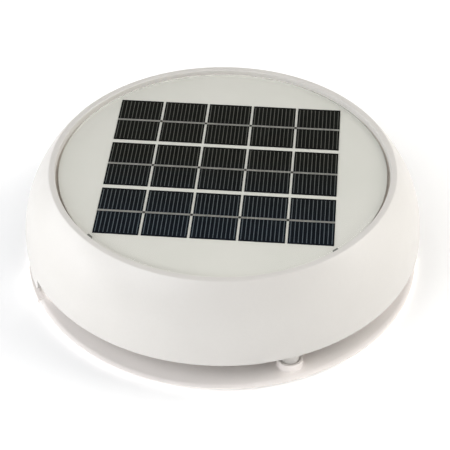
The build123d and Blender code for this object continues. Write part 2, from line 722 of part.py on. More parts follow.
with BuildPart() as front_bushing:
    with BuildSketch(Plane.XY.offset(NOSE_BOTTOM)):
        Circle(BUSHING_RADIUS)
        Circle(SHAFT_RADIUS + BUSHING_CLEARANCE, mode=Mode.SUBTRACT)
    extrude(amount=BUSHING_LENGTH)

front_bushing.part.label = "front_bushing"
export_step(front_bushing.part, "parts/front_bushing.step")

motor_screw = pan_head_screw(MOTOR_SCREW_RADIUS, 2.5, 1.9, 1.0)
with BuildPart() as motor_screws:
    with Locations(Plane.XY.offset(POD_BOTTOM)):
        with PolarLocations(MOTOR_SCREW_OFFSET, 2):
            add(motor_screw)

motor_screws.part.label = "motor_screws"
export_step(motor_screws.part, "parts/motor_screws.step")

with BuildPart() as motor_magnets:
    with BuildSketch(Plane.XY.offset(MAGNET_BOTTOM)):
        Circle(CAN_RADIUS - CAN_WALL)
        Circle(MAGNET_INNER_RADIUS, mode=Mode.SUBTRACT)
        gap_width = 2 * MAGNET_INNER_RADIUS * cos(radians(MAGNET_ARC / 2))
        Rectangle(gap_width, 2 * CAN_RADIUS, mode=Mode.SUBTRACT)
    extrude(amount=MAGNET_LENGTH)

motor_magnets.part.label = "motor_magnets"
export_step(motor_magnets.part, "parts/motor_magnets.step")

with BuildPart() as motor_end_bell:
    with BuildSketch(Plane.XY.offset(CAN_TOP - 1.0)):
        Circle(CAN_RADIUS - CAN_WALL)
        Circle(END_BELL_BORE_RADIUS, mode=Mode.SUBTRACT)
    extrude(amount=1.0)
    with BuildSketch(Plane.XY.offset(CAN_TOP)):
        Circle(CAN_RADIUS)
        Circle(END_BELL_BORE_RADIUS, mode=Mode.SUBTRACT)
    extrude(amount=2.0)
    with BuildSketch(Plane.XY.offset(CAN_TOP + 2.0)):
        Circle(CAN_RADIUS - 0.6)
    extrude(amount=END_BELL_TOP - CAN_TOP - 2.0)
    with BuildSketch(Plane.XY.offset(CAN_TOP + 1.0)):
        Circle(BUSHING_RADIUS + 1.2)
    extrude(amount=BUSHING_LENGTH + 0.6)
    with BuildSketch(Plane.XY.offset(CAN_TOP + 0.8)):
        Circle(BUSHING_RADIUS)
    extrude(amount=BUSHING_LENGTH + 0.2, mode=Mode.SUBTRACT)

motor_end_bell.part.label = "motor_end_bell"
export_step(motor_end_bell.part, "parts/motor_end_bell.step")

with BuildPart() as rear_bushing:
    with BuildSketch(Plane.XY.offset(CAN_TOP + 1.0)):
        Circle(BUSHING_RADIUS)
        Circle(SHAFT_RADIUS + BUSHING_CLEARANCE, mode=Mode.SUBTRACT)
    extrude(amount=BUSHING_LENGTH)

rear_bushing.part.label = "rear_bushing"
export_step(rear_bushing.part, "parts/rear_bushing.step")

with BuildPart() as motor_brushes:
    with BuildSketch(Plane.XY.offset(CAN_TOP - 1.4)):
        with GridLocations(10.0, 1, 2, 1):
            Rectangle(2.2, 2.4)
    extrude(amount=3.4)
    with BuildSketch(Plane.XY.offset(CAN_TOP - 0.9)):
        with GridLocations(14.6, 1, 2, 1):
            Rectangle(2.5, 1.6)
    extrude(amount=0.9)

motor_brushes.part.label = "motor_brushes"
export_step(motor_brushes.part, "parts/motor_brushes.step")

# ---------------------------------------------------------------- rotor and fan

with BuildPart() as motor_shaft:
    with BuildSketch(Plane.XY.offset(SHAFT_BOTTOM)):
        Circle(SHAFT_RADIUS)
    extrude(amount=SHAFT_TOP - SHAFT_BOTTOM)
    chamfer(motor_shaft.edges().filter_by(GeomType.CIRCLE), 0.2)

motor_shaft.part.label = "motor_shaft"
export_step(motor_shaft.part, "parts/motor_shaft.step")

with BuildPart() as armature:
    with BuildSketch(Plane.XY.offset(ARMATURE_BOTTOM)):
        Circle(ARMATURE_RADIUS)
        Circle(ARMATURE_RADIUS - 1.4, mode=Mode.SUBTRACT)
        with PolarLocations(ARMATURE_RADIUS, 3):
            Rectangle(4.0, 1.6, mode=Mode.SUBTRACT)
        with PolarLocations(ARMATURE_RADIUS / 2 - 0.2, 3, start_angle=60):
            Rectangle(ARMATURE_RADIUS - 1.2, TOOTH_WIDTH)
        Circle(TOOTH_WIDTH)
        Circle(SHAFT_RADIUS, mode=Mode.SUBTRACT)
    extrude(amount=ARMATURE_LENGTH)

armature.part.label = "armature"
export_step(armature.part, "parts/armature.step")

with BuildPart() as armature_windings:
    with BuildSketch(Plane.XY.offset(ARMATURE_BOTTOM - WINDING_OVERHANG)):
        with PolarLocations(4.7, 3, start_angle=60):
            with GridLocations(1, 4.2, 1, 2):
                Rectangle(3.0, 1.8)
    extrude(amount=ARMATURE_LENGTH + 2 * WINDING_OVERHANG)

armature_windings.part.label = "armature_windings"
export_step(armature_windings.part, "parts/armature_windings.step")

with BuildPart() as commutator:
    with BuildSketch(Plane.XY.offset(COMMUTATOR_BOTTOM)):
        Circle(COMMUTATOR_RADIUS)
        Circle(SHAFT_RADIUS, mode=Mode.SUBTRACT)
    extrude(amount=COMMUTATOR_LENGTH)
    with BuildSketch(Plane.XY.offset(COMMUTATOR_BOTTOM + 0.4)):
        with PolarLocations(COMMUTATOR_RADIUS, 3):
            Rectangle(1.2, 0.4)
    extrude(amount=COMMUTATOR_LENGTH - 0.4, mode=Mode.SUBTRACT)

commutator.part.label = "commutator"
export_step(commutator.part, "parts/commutator.step")


def blade_plane(radius, pitch):
    """Plane across a blade at a radius, its X axis tilted up by the pitch."""
    return Plane(
        origin=(radius, 0, BLADE_HEIGHT),
        x_dir=(0, cos(radians(pitch)), sin(radians(pitch))),
        z_dir=(1, 0, 0),
    )


with BuildPart() as fan_blade:
    with BuildSketch(blade_plane(HUB_RADIUS - HUB_WALL / 2, ROOT_PITCH)):
        SlotOverall(ROOT_CHORD, BLADE_THICKNESS)
    with BuildSketch(blade_plane(FAN_RADIUS, TIP_PITCH)):
        SlotOverall(TIP_CHORD, BLADE_THICKNESS)
    loft()

with BuildPart() as blade_trim:
    with BuildSketch(Plane.XY.offset(HUB_BOTTOM - 5)):
        Circle(FAN_RADIUS)
        Circle(HUB_RADIUS - HUB_WALL, mode=Mode.SUBTRACT)
    extrude(amount=HUB_TOP - HUB_BOTTOM + 10)

with BuildPart() as fan:
    with PolarLocations(0, BLADES):
        add(fan_blade.part)
    add(blade_trim.part, mode=Mode.INTERSECT)
    with BuildSketch(Plane.XY.offset(HUB_BOTTOM)):
        Circle(HUB_RADIUS)
        Circle(HUB_RADIUS - HUB_WALL, mode=Mode.SUBTRACT)
    extrude(amount=HUB_TOP - HUB_BOTTOM)
    with BuildSketch(Plane.XY.offset(HUB_TOP - HUB_LID)):
        Circle(HUB_RADIUS)
    extrude(amount=HUB_LID)
    with BuildSketch(Plane.XY.offset(SHAFT_BOTTOM - SOCKET_FLOOR)):
        Circle(SOCKET_RADIUS)
    extrude(amount=HUB_TOP - SHAFT_BOTTOM + SOCKET_FLOOR)
    with BuildSketch(Plane.XY.offset(SHAFT_BOTTOM)):
        Circle(SHAFT_RADIUS)
    extrude(amount=HUB_TOP - SHAFT_BOTTOM, mode=Mode.SUBTRACT)

fan.part.label = "fan"
export_step(fan.part, "parts/fan.step")

with BuildPart() as fan_cap:
    with BuildSketch(Plane.XZ):
        with BuildLine():
            cap_edge = Line((HUB_RADIUS - HUB_WALL, HUB_BOTTOM + 1.0), (0, HUB_BOTTOM + 1.0))
            Line(cap_edge @ 1, (0, HUB_BOTTOM - 2.0))
            ThreePointArc(
                (0, HUB_BOTTOM - 2.0),
                (HUB_RADIUS * 0.55, HUB_BOTTOM - 1.2),
                (HUB_RADIUS - HUB_WALL, HUB_BOTTOM + 0.2),
            )
            Line((HUB_RADIUS - HUB_WALL, HUB_BOTTOM + 0.2), cap_edge @ 0)
        make_face()
    revolve(axis=Axis.Z)

fan_cap.part.label = "fan_cap"
export_step(fan_cap.part, "parts/fan_cap.step")

# ---------------------------------------------------------------- switch

with BuildPart() as switch_body:
    with BuildSketch(Plane.XY.offset(POD_FLOOR_TOP)):
        with Locations((0, SWITCH_Y)):
            Rectangle(SWITCH_LENGTH, SWITCH_WIDTH)
    extrude(amount=SWITCH_HEIGHT)
    with BuildSketch(Plane.XY.offset(POD_FLOOR_TOP)):
        with Locations((0, SWITCH_Y)):
            Rectangle(SLIDER_LENGTH + SLIDER_TRAVEL + 3.2, SLIDER_WIDTH + 2.0)
    extrude(amount=SWITCH_HEIGHT - 1.2, mode=Mode.SUBTRACT)

switch_body.part.label = "switch_body"
export_step(switch_body.part, "parts/switch_body.step")

with BuildPart() as switch_slider:
    slider_x = -SLIDER_TRAVEL / 2
    with BuildSketch(Plane.XY.offset(SLIDER_BOTTOM)):
        with Locations((slider_x, SWITCH_Y)):
            Rectangle(SLIDER_LENGTH, SLIDER_WIDTH)
    extrude(amount=POD_FLOOR_TOP + SWITCH_HEIGHT - 2.0 - SLIDER_BOTTOM)
    fillet(switch_slider.faces().sort_by(Axis.Z)[0].edges(), 0.4)

switch_slider.part.label = "switch_slider"
export_step(switch_slider.part, "parts/switch_slider.step")

# ---------------------------------------------------------------- control board

board_plane = Plane(origin=(0, BOARD_BACK, BOARD_BOTTOM), x_dir=(-1, 0, 0), z_dir=(0, -1, 0))
with BuildPart() as control_board:
    with BuildSketch(board_plane):
        Rectangle(BOARD_LENGTH, BOARD_HEIGHT, align=(Align.CENTER, Align.MAX))
    extrude(amount=-BOARD_THICKNESS)

control_board.part.label = "control_board"
export_step(control_board.part, "parts/control_board.step")

with BuildPart() as board_capacitor:
    with BuildSketch(board_plane):
        with Locations((-10.0, -CAPACITOR_DROP)):
            Circle(CAPACITOR_RADIUS)
    extrude(amount=CAPACITOR_LENGTH)
    fillet(board_capacitor.faces().sort_by(Axis.Y)[0].edges(), 0.5)

board_capacitor.part.label = "board_capacitor"
export_step(board_capacitor.part, "parts/board_capacitor.step")

diode_plane = Plane(origin=(0, BOARD_BACK - DIODE_STANDOFF, DIODE_HEIGHT), z_dir=(1, 0, 0))
with BuildPart() as board_diode:
    with BuildSketch(diode_plane):
        Circle(DIODE_RADIUS)
    extrude(amount=DIODE_LENGTH / 2, both=True)
    with BuildSketch(diode_plane):
        Circle(DIODE_LEG_RADIUS)
    extrude(amount=DIODE_LEG_SPACING / 2 + DIODE_LEG_RADIUS, both=True)
    with BuildSketch(Plane.XZ.offset(-BOARD_BACK)):
        with Locations((0, DIODE_HEIGHT)):
            with GridLocations(DIODE_LEG_SPACING, 1, 2, 1):
                Circle(DIODE_LEG_RADIUS)
    extrude(amount=DIODE_STANDOFF)

board_diode.part.label = "board_diode"
export_step(board_diode.part, "parts/board_diode.step")

with BuildPart() as board_transistor:
    with BuildSketch(board_plane):
        with Locations((9.0, -TRANSISTOR_DROP)):
            RectangleRounded(TRANSISTOR_SIZE, TRANSISTOR_SIZE, 0.4)
    extrude(amount=TRANSISTOR_HEIGHT)

board_transistor.part.label = "board_transistor"
export_step(board_transistor.part, "parts/board_transistor.step")

# ---------------------------------------------------------------- leads

# from the panel, through the grommet, down to the back of the board
for side, side_name in ((-1, "plus"), (1, "minus")):
    lead_x = LEAD_HOLE[0] + side * LEAD_SPACING / 2
    lead_height = PANEL_LEAD_HEIGHT - (side + 1) / 2
    panel_lead = lead(
        [
            (lead_x, LEAD_HOLE[1], SEAT_HEIGHT),
            (lead_x, LEAD_HOLE[1], lead_height),
            (lead_x, BOARD_BACK, lead_height),
        ],
        2.4,
    )
    panel_lead.label = f"panel_lead_{side_name}"
    export_step(panel_lead, f"parts/panel_lead_{side_name}.step")

# from the motor's end bell, in a loop down to the top edge of the board
for side, side_name in ((1, "plus"), (-1, "minus")):
    lead_x = side * MOTOR_TERMINAL_X
    motor_lead = lead(
        [
            (lead_x, MOTOR_TERMINAL_Y, END_BELL_TOP),
            (lead_x, MOTOR_TERMINAL_Y, LEAD_LOOP_TOP),
            (lead_x, BOARD_Y, LEAD_LOOP_TOP),
            (lead_x, BOARD_Y, BOARD_BOTTOM + BOARD_HEIGHT),
        ],
        1.6,
    )
    motor_lead.label = f"motor_lead_{side_name}"
    export_step(motor_lead, f"parts/motor_lead_{side_name}.step")

# from the battery contacts, round the motor to the ends of the board
plus_tab_x = plus_face + CONTACT_THICKNESS / 2
minus_tab_x = CONTACT_X - CONTACT_THICKNESS / 2
for side, side_name, tab_x in ((1, "plus", plus_tab_x), (-1, "minus", minus_tab_x)):
    tab_y = CELL_AXIS_Y - 3.0
    lead_height = BATTERY_LEAD_HEIGHT + (side - 1) / 2
    battery_lead = lead(
        [
            (side * tab_x, tab_y, CELL_AXIS_Z + 3.5),
            (side * tab_x, tab_y, CELL_AXIS_Z + 9.0),
            (side * 29.5, 8.0, lead_height),
            (side * 29.0, -6.0, lead_height),
            (side * 26.0, BOARD_Y, lead_height),
            (side * BOARD_LENGTH / 2, BOARD_Y, lead_height),
        ],
        [2.8, 8.0, 30.0, 3.5],
    )
    battery_lead.label = f"battery_lead_{side_name}"
    export_step(battery_lead, f"parts/battery_lead_{side_name}.step")
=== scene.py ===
import math

import bmesh
import bpy
from mathutils import Matrix, Quaternion, Vector


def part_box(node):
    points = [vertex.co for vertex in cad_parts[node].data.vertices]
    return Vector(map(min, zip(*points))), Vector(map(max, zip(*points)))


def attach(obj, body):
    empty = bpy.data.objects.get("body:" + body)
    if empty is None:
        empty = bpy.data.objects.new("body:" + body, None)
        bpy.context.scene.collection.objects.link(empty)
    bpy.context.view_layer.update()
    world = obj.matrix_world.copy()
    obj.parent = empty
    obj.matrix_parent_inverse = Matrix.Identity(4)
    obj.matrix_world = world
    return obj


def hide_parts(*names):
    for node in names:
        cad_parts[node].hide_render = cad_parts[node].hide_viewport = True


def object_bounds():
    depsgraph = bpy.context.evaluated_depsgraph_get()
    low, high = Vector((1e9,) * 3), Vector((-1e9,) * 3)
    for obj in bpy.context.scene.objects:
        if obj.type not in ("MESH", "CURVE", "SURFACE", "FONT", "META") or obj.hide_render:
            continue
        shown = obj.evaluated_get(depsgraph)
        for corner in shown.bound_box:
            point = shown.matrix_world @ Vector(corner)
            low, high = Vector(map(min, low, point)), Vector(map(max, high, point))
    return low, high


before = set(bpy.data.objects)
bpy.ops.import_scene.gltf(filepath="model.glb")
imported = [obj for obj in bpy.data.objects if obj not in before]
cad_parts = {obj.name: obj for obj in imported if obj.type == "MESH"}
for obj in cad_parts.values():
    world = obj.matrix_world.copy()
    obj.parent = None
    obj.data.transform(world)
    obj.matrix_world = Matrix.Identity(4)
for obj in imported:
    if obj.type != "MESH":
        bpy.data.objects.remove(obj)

# Solar attic fan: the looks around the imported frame. Lengths are in metres.

MM = 0.001
cad_low, cad_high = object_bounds()

# ---------------------------------------------------------------- what the frame says

BACKSHEET_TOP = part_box("panel_backsheet")[1].z
COVER_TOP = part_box("panel_cover")[1].z
COVER_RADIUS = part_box("panel_cover")[1].x
RIM_INNER_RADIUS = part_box("panel_seal")[1].x
SEAL_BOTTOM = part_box("panel_seal")[0].z
SEAL_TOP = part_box("panel_seal")[1].z
CELL_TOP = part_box("solar_cells_front_row")[1].z
RIBBON_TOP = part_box("tab_ribbons")[1].z
SCREEN_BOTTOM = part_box("insect_screen")[0].z
SCREEN_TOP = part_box("insect_screen")[1].z
SCREEN_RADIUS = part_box("insect_screen")[1].x

# ---------------------------------------------------------------- sizes of the detail

COLUMNS = 5
COLUMN_GAP = 1.3 * MM
FINGERS = 11
FINGER_WIDTH = 0.42 * MM
FINGER_HEIGHT = 0.03 * MM
FINGER_MARGIN = 1.1 * MM
COVER_BOND = 0.02 * MM
COVER_ROUNDING = 0.12 * MM
COVER_MARGIN = 0.08 * MM
# The edge blocks are painted shade. They stand at these angles, by the cells' lower corners.
BLOCK_ANGLES = (224.9, 314.8)
BLOCK_ARC = 2.0
BLOCK_STEPS = 6
BLOCK_LAP = 0.2 * MM
BLOCK_RISE = 0.25 * MM
BLOCK_CORNER = 0.15 * MM
BLOCK_SLOPE = 0.4 * MM
BLOCK_WALL_GAP = 0.2 * MM
BLOCK_FOOT_GAP = 0.1 * MM
BLOCK_CLEARANCE = 0.02 * MM
SEAL_SAG = 0.45 * MM
SOLDER_COVER = 0.06 * MM
SOLDER_SIZE = (1.0 * MM, 0.95 * MM, RIBBON_TOP + SOLDER_COVER - CELL_TOP)
STRIP_INSET = 0.15
WIRE_RADIUS = 0.14 * MM
WIRE_PITCH = 1.8 * MM
WIRE_SIDES = 6
CLOTH_MARGIN = 2.2 * MM
CLOTH_LAP = 1.2 * MM
EDGE_CHAMFER = 0.08 * MM


# ---------------------------------------------------------------- mesh helpers


def add_mesh(name, bm, material, smooth=True):
    """A new object at the origin from a bmesh, shaded smooth where it is asked for."""
    mesh = bpy.data.meshes.new(name)
    bmesh.ops.recalc_face_normals(bm, faces=bm.faces)
    bm.to_mesh(mesh)
    bm.free()
    piece = bpy.data.objects.new(name, mesh)
    bpy.context.scene.collection.objects.link(piece)
    mesh.materials.append(material)
    if smooth:
        mesh.shade_smooth()
    return piece


def revolve(name, profile, material, segments=256):
    """A closed ring or disc: a closed outline of (radius, height) points turned about Z."""
    bm = bmesh.new()
    rings = []
    for radius, height in profile:
        if radius < 1e-6:
            rings.append([bm.verts.new((0, 0, height))])
            continue
        turn = [2 * math.pi * i / segments for i in range(segments)]
        rings.append([bm.verts.new((radius * math.cos(a), radius * math.sin(a), height)) for a in turn])
    for a, b in zip(rings, rings[1:] + rings[:1]):
        for i in range(segments):
            j = (i + 1) % segments
            corners = [a[i % len(a)], a[j % len(a)], b[j % len(b)], b[i % len(b)]]
            corners = list(dict.fromkeys(corners))
            if len(corners) > 2:
                bm.faces.new(corners)
    return add_mesh(name, bm, material)


def quarter(centre, radius, start, steps=6):
    """Points of a quarter circle, clockwise from an angle in degrees."""
    points = []
    for i in range(steps + 1):
        a = math.radians(start - 90 * i / steps)
        points.append((centre[0] + radius * math.cos(a), centre[1] + radius * math.sin(a)))
    return points


def add_strip(bm, x, y, z, width, length, height):
    """A low bar lying on a face, with its upper edges drawn in."""
    inset = min(width, length) * STRIP_INSET
    corners = ((-1, -1), (1, -1), (1, 1), (-1, 1))
    low = [bm.verts.new((x + i * width / 2, y + j * length / 2, z)) for i, j in corners]
    high = [
        bm.verts.new((x + i * (width / 2 - inset), y + j * (length / 2 - inset), z + height))
        for i, j in corners
    ]
    bm.faces.new(high)
    bm.faces.new(reversed(low))
    for i in range(4):
        j = (i + 1) % 4
        bm.faces.new((low[i], low[j], high[j], high[i]))


def add_bead(bm, centre, size, rings=6, segments=14):
    """A flattened dome of solder on a face."""
    columns = []
    for r in range(rings):
        a = math.pi / 2 * r / rings
        columns.append(
            [
                bm.verts.new(
                    (
                        centre[0] + size[0] * math.cos(a) * math.cos(2 * math.pi * i / segments),
                        centre[1] + size[1] * math.cos(a) * math.sin(2 * math.pi * i / segments),
                        centre[2] + size[2] * math.sin(a),
                    )
                )
                for i in range(segments)
            ]
        )
    top = bm.verts.new((centre[0], centre[1], centre[2] + size[2]))
    for low, high in zip(columns, columns[1:]):
        for i in range(segments):
            j = (i + 1) % segments
            bm.faces.new((low[i], low[j], high[j], high[i]))
    for i in range(segments):
        bm.faces.new((columns[-1][i], columns[-1][(i + 1) % segments], top))
    bm.faces.new(reversed(columns[0]))


def add_wire(bm, points, radius, sides):
    """A round wire through points, each ring square to the run beside it."""
    rings = []
    for i, point in enumerate(points):
        along = (points[min(i + 1, len(points) - 1)] - points[max(i - 1, 0)]).normalized()
        across = along.cross(Vector((0, 0, 1))).normalized()
        up = across.cross(along)
        turn = [2 * math.pi * k / sides for k in range(sides)]
        rings.append(
            [bm.verts.new(point + radius * (math.cos(a) * across + math.sin(a) * up)) for a in turn]
        )
    for a, b in zip(rings, rings[1:]):
        for k in range(sides):
            m = (k + 1) % sides
            bm.faces.new((a[k], a[m], b[m], b[k]))
    bm.faces.new(reversed(rings[0]))
    bm.faces.new(rings[-1])


# ---------------------------------------------------------------- material helpers


class Finish:
    """A Principled material and the few node chains that the finishes share."""

    def __init__(self, name, roughness=0.5, metallic=0.0, specular=0.5):
        self.material = bpy.data.materials.new(name)
        self.material.use_nodes = True
        self.tree = self.material.node_tree
        self.shader = self.tree.nodes["Principled BSDF"]
        self.shader.inputs["Roughness"].default_value = roughness
        self.shader.inputs["Metallic"].default_value = metallic
        self.shader.inputs["Specular IOR Level"].default_value = specular
        self.place = self.node("ShaderNodeTexCoord").outputs["Object"]
        self.normal = None

    def node(self, kind, **settings):
        made = self.tree.nodes.new(kind)
        for key, value in settings.items():
            setattr(made, key, value)
        return made

    def link(self, source, target):
        self.tree.links.new(source, target)

    def stretched(self, x, y, z):
        """The place, scaled along each axis."""
        mapping = self.node("ShaderNodeMapping")
        mapping.inputs["Scale"].default_value = (x, y, z)
        self.link(self.place, mapping.inputs["Vector"])
        return mapping.outputs["Vector"]

    def noise(self, size, detail=3.0, place=None):
        """Noise whose patches are about a size, in metres."""
        made = self.node("ShaderNodeTexNoise")
        made.inputs["Scale"].default_value = 1 / size
        made.inputs["Detail"].default_value = detail
        self.link(place or self.place, made.inputs["Vector"])
        return made.outputs["Fac"]

    def waves(self, size, direction):
        """Straight waves along an axis, whose pitch is a size, in metres."""
        made = self.node("ShaderNodeTexWave", bands_direction=direction)
        made.inputs["Scale"].default_value = 0.314 / size
        self.link(self.place, made.inputs["Vector"])
        return made.outputs["Fac"]

    def along(self, axis, start, end):
        """A value that goes from 0 to 1 as the place goes from start to end along an axis."""
        split = self.node("ShaderNodeSeparateXYZ")
        self.link(self.place, split.inputs["Vector"])
        return self.between(split.outputs[axis], 0.0, 1.0, start, end)

    def between(self, source, low, high, start=0.3, end=0.7):
        """A value that goes from low to high as the source goes from start to end."""
        made = self.node("ShaderNodeMapRange")
        made.inputs["From Min"].default_value = start
        made.inputs["From Max"].default_value = end
        made.inputs["To Min"].default_value = low
        made.inputs["To Max"].default_value = high
        self.link(source, made.inputs["Value"])
        return made.outputs["Result"]

    def blend(self, amount, first, second):
        """A colour between two colours, each a tuple or a socket."""
        made = self.node("ShaderNodeMix", data_type="RGBA")
        self.link(amount, made.inputs["Factor"])
        for socket, colour in (("A", first), ("B", second)):
            target = next(s for s in made.inputs if s.name == socket and s.type == "RGBA")
            if isinstance(colour, tuple):
                target.default_value = (*colour, 1.0)
            else:
                self.link(colour, target)
        return next(s for s in made.outputs if s.type == "RGBA")

    def colour(self, source):
        if isinstance(source, tuple):
            self.shader.inputs["Base Color"].default_value = (*source, 1.0)
        else:
            self.link(source, self.shader.inputs["Base Color"])

    def rough(self, source, low, high):
        self.link(self.between(source, low, high), self.shader.inputs["Roughness"])

    def bump(self, height, distance, strength=1.0):
        """A bump on top of any bump that is there already."""
        made = self.node("ShaderNodeBump")
        made.inputs["Distance"].default_value = distance
        made.inputs["Strength"].default_value = strength
        self.link(height, made.inputs["Height"])
        if self.normal:
            self.link(self.normal, made.inputs["Normal"])
        self.normal = made.outputs["Normal"]
        self.link(self.normal, self.shader.inputs["Normal"])


def tinted(colour, factor):
    return tuple(min(1.0, c * factor) for c in colour)


def moulded_plastic(name, colour, roughness, grain=0.25 * MM, depth=0.004 * MM):
    """Injection-moulded plastic: faint cloudiness, a fine grain and a slow ripple."""
    made = Finish(name, roughness)
    cloud = made.noise(22 * MM, 4.0)
    fleck = made.noise(1.4 * MM, 2.0)
    tone = made.blend(made.between(cloud, 0.0, 1.0), tinted(colour, 0.975), colour)
    made.colour(made.blend(made.between(fleck, 0.0, 0.35), tone, tinted(colour, 0.955)))
    made.rough(made.noise(9 * MM, 3.0), roughness - 0.05, roughness + 0.06)
    made.bump(made.noise(grain, 2.0), depth)
    made.bump(made.noise(14 * MM, 1.0), 0.02 * MM)
    return made.material


def rubber(name, colour, roughness=0.75, pore=0.5 * MM):
    """Foam or rubber: open pores and a dusty, uneven tone."""
    made = Finish(name, roughness, specular=0.3)
    pores = made.node("ShaderNodeTexVoronoi")
    pores.inputs["Scale"].default_value = 1 / pore
    made.link(made.place, pores.inputs["Vector"])
    dust = made.noise(8 * MM, 4.0)
    made.colour(made.blend(made.between(dust, 0.0, 1.0), colour, tinted(colour, 1.35)))
    made.rough(dust, roughness - 0.06, roughness + 0.1)
    made.bump(pores.outputs["Distance"], 0.05 * MM, 0.5)
    return made.material


def metal(name, colour, roughness, stretch=(1, 1, 12), grain=1.2 * MM):
    """Bare or plated metal, with the fine lines of rolling or turning."""
    made = Finish(name, roughness, metallic=1.0)
    lines = made.noise(grain, 3.0, made.stretched(*stretch))
    stain = made.noise(6 * MM, 4.0)
    made.colour(made.blend(made.between(stain, 0.0, 1.0), tinted(colour, 0.85), colour))
    made.rough(lines, roughness - 0.08, roughness + 0.12)
    made.bump(lines, 0.006 * MM, 0.6)
    return made.material


# ---------------------------------------------------------------- materials

# Where the painted reflection on the cells and their lines goes from its rear colour to its front
# colour
PAINTED_REFLECTION_REAR = 10 * MM
PAINTED_REFLECTION_FRONT = -50 * MM
HOOD_WHITE = (0.655, 0.634, 0.603)
# The base is a lighter white than the hood. Part of that is its own colour, and part is painted light
# that lifts the base where it lies in the hood's shade.
BASE_WHITE = (0.955, 0.905, 0.87)

hood_white = moulded_plastic("hood_white", HOOD_WHITE, 0.36)
base_white = moulded_plastic("base_white", BASE_WHITE, 0.4)
pod_white = moulded_plastic("pod_white", (0.60, 0.60, 0.58), 0.5, 0.5 * MM, 0.015 * MM)
fan_white = moulded_plastic("fan_white", (0.66, 0.66, 0.64), 0.42)
black_plastic = moulded_plastic("black_plastic", (0.018, 0.018, 0.019), 0.5, 0.4 * MM, 0.012 * MM)
battery_sleeve = moulded_plastic("battery_sleeve", (0.03, 0.16, 0.07), 0.28)
foam = rubber("foam", (0.022, 0.022, 0.023), 0.85, 0.6 * MM)
silicone = rubber("silicone", (0.30, 0.27, 0.235), 0.5, 2.0 * MM)
# Dark rubber for the edge blocks: painted shade.
painted_shade_rubber = rubber("painted_shade_rubber", (0.14, 0.145, 0.13), 0.6, 0.8 * MM)
red_wire = rubber("red_wire", (0.36, 0.018, 0.014), 0.45, 1.5 * MM)
black_wire = rubber("black_wire", (0.012, 0.012, 0.013), 0.45, 1.5 * MM)
steel = metal("steel", (0.56, 0.56, 0.57), 0.32)
zinc = metal("zinc", (0.60, 0.61, 0.62), 0.38, (1, 1, 1), 2.5 * MM)
brass = metal("brass", (0.72, 0.50, 0.22), 0.3)
copper = metal("copper", (0.62, 0.26, 0.12), 0.35, (1, 1, 20), 0.4 * MM)
tin = metal("tin", (0.50, 0.49, 0.46), 0.42, (1, 8, 1), 1.0 * MM)
ferrite = rubber("ferrite", (0.04, 0.04, 0.043), 0.6, 0.8 * MM)


def make_backsheet():
    """Off-white laminate under the cover, with the faint grid of its fabric."""
    made = Finish("backsheet", 0.45)
    cloud = made.between(made.noise(40 * MM, 3.0), 0.0, 1.0)
    made.colour(made.blend(cloud, (0.672, 0.669, 0.618), (0.703, 0.694, 0.647)))
    weave = made.waves(0.9 * MM, "X")
    cross = made.waves(0.9 * MM, "Y")
    both = made.node("ShaderNodeMath", operation="MULTIPLY")
    made.link(weave, both.inputs[0])
    made.link(cross, both.inputs[1])
    made.bump(both.outputs["Value"], 0.01 * MM, 0.6)
    made.rough(made.noise(5 * MM), 0.4, 0.5)
    return made.material


def make_silicon():
    """Dark cell with fine texture lines. It is bluer to the front and browner to the rear, a painted
    reflection.
    """
    made = Finish("silicon", 0.45, specular=0.1)
    tone = made.noise(26 * MM, 2.0)
    grain = made.noise(0.7 * MM, 2.0, made.stretched(1, 6, 1))
    rear = made.blend(made.between(tone, 0.0, 1.0), (0.0014, 0.0016, 0.0004), (0.0022, 0.0022, 0.0010))
    # Painted reflection: the cells turn from brownish at the rear to bluish at the front.
    base = made.blend(made.along("Y", PAINTED_REFLECTION_REAR, PAINTED_REFLECTION_FRONT), rear, (0.0004, 0.0024, 0.0062))
    made.colour(made.blend(made.between(grain, 0.0, 0.4), base, (0.0025, 0.0032, 0.0034)))
    made.rough(grain, 0.4, 0.55)
    made.bump(grain, 0.003 * MM, 0.5)
    return made.material


def make_finger():
    """Screen-printed silver line, dulled by the layers over it."""
    made = Finish("finger", 0.55, specular=0.3)
    grain = made.noise(0.5 * MM, 3.0)
    rear = made.blend(made.between(grain, 0.0, 1.0), (0.058, 0.060, 0.050), (0.085, 0.088, 0.076))
    front = made.blend(made.between(grain, 0.0, 1.0), (0.062, 0.080, 0.094), (0.088, 0.110, 0.122))
    # Painted reflection: the lines turn bluer to the front, as the cells do.
    made.colour(made.blend(made.along("Y", PAINTED_REFLECTION_REAR, PAINTED_REFLECTION_FRONT), rear, front))
    made.rough(grain, 0.45, 0.65)
    made.bump(grain, 0.01 * MM, 0.8)
    return made.material


def make_solder():
    made = Finish("solder", 0.45, metallic=0.6)
    blot = made.noise(0.5 * MM, 3.0)
    made.colour(made.blend(made.between(blot, 0.0, 1.0), (0.035, 0.034, 0.03), (0.10, 0.095, 0.085)))
    made.rough(blot, 0.35, 0.6)
    made.bump(blot, 0.03 * MM, 0.8)
    return made.material


def make_board():
    """Green solder mask with the raised lines of the tracks under it."""
    made = Finish("board_green", 0.35)
    tracks = made.node("ShaderNodeTexBrick")
    tracks.inputs["Scale"].default_value = 160.0
    tracks.inputs["Mortar Size"].default_value = 0.06
    made.link(made.place, tracks.inputs["Vector"])
    made.colour(made.blend(tracks.outputs["Fac"], (0.012, 0.075, 0.028), (0.035, 0.14, 0.05)))
    made.rough(made.noise(3 * MM), 0.3, 0.42)
    made.bump(tracks.outputs["Fac"], 0.03 * MM)
    return made.material


